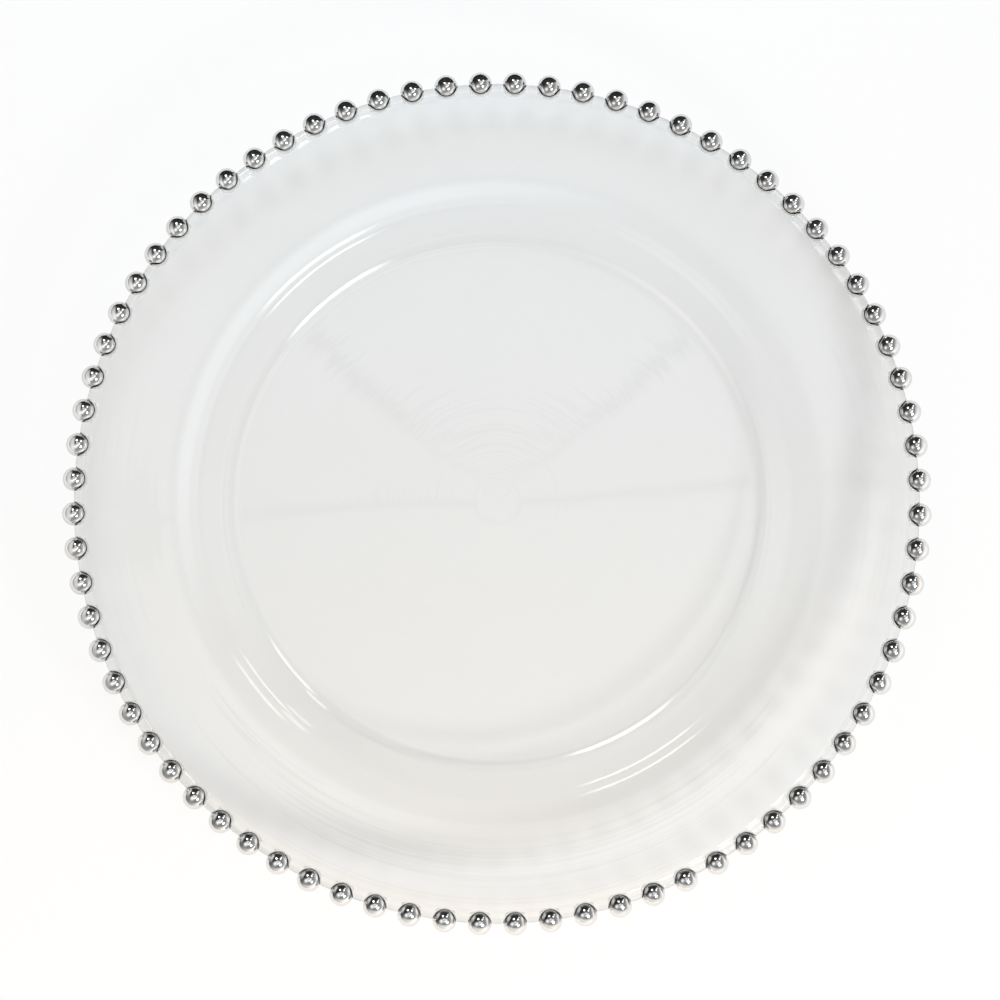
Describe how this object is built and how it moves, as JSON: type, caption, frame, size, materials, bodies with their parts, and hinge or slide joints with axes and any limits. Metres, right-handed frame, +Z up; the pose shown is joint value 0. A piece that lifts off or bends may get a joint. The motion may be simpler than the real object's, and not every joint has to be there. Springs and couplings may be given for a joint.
{
  "type": "charger plate",
  "caption": "Round clear pressed-glass charger plate with a shallow stepped well, a wide raised rim and a ring of silvered beads set in its edge, to stand under a dinner plate.",
  "frame": {"origin": "centre of the foot ring, on the surface that the plate stands on", "axes": "+Z up along the axis of revolution; two beads stand astride +X, and +Y is away from the viewer"},
  "size_m": [0.3298, 0.3298, 0.0222],
  "materials": {
    "clear_glass": "polished",
    "silvered_bead": "polished",
    "clear_cement": "gloss"
  },
  "bodies": {
    "root": {"glass_plate": "clear_glass", "rim_beads_01": "silvered_bead", "rim_beads_02": "silvered_bead", "rim_beads_03": "silvered_bead", "rim_beads_04": "silvered_bead", "rim_beads_05": "silvered_bead", "rim_beads_06": "silvered_bead", "rim_beads_07": "silvered_bead", "rim_beads_08": "silvered_bead", "rim_beads_09": "silvered_bead", "rim_beads_10": "silvered_bead", "rim_beads_11": "silvered_bead", "rim_beads_12": "silvered_bead", "rim_beads_13": "silvered_bead", "rim_beads_14": "silvered_bead", "rim_beads_15": "silvered_bead", "rim_beads_16": "silvered_bead", "rim_beads_17": "silvered_bead", "rim_beads_18": "silvered_bead", "rim_beads_19": "silvered_bead", "bead_cement_01": "clear_cement", "bead_cement_02": "clear_cement", "bead_cement_03": "clear_cement", "bead_cement_04": "clear_cement", "bead_cement_05": "clear_cement", "bead_cement_06": "clear_cement", "bead_cement_07": "clear_cement", "bead_cement_08": "clear_cement", "bead_cement_09": "clear_cement", "bead_cement_10": "clear_cement", "bead_cement_11": "clear_cement", "bead_cement_12": "clear_cement", "bead_cement_13": "clear_cement", "bead_cement_14": "clear_cement", "bead_cement_15": "clear_cement", "bead_cement_16": "clear_cement", "bead_cement_17": "clear_cement", "bead_cement_18": "clear_cement", "bead_cement_19": "clear_cement"}
  },
  "joints": []
}
